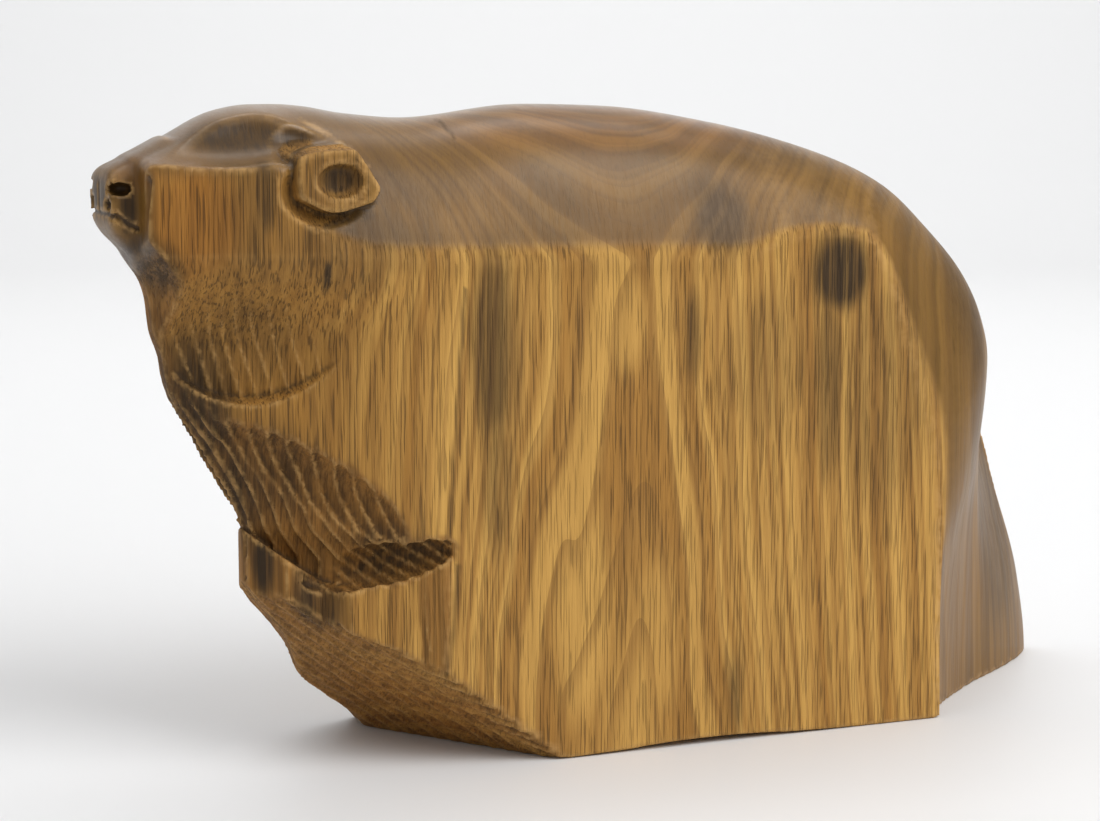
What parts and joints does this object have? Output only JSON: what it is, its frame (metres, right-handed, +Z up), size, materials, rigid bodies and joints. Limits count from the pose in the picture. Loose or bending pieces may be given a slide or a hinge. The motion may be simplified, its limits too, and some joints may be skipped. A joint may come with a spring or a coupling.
{
  "type": "carved wooden bear figure",
  "caption": "Stylised walking polar bear carved from one block of brown wood, with flat sides, a rounded back, a low outstretched head and gouge-marked chest and feet.",
  "frame": {"origin": "on the ground under the middle of the bear's bounding box", "axes": "+Z up; the nose points along -X and the heels along +X; the bear's left side faces -Y"},
  "size_m": [0.3004, 0.068, 0.1746],
  "materials": {
    "oiled_wood": "oiled and satin on the sanded back and head, raw and chiselled on the walls and the front"
  },
  "bodies": {
    "root": {"polar_bear": "oiled_wood"}
  },
  "joints": []
}
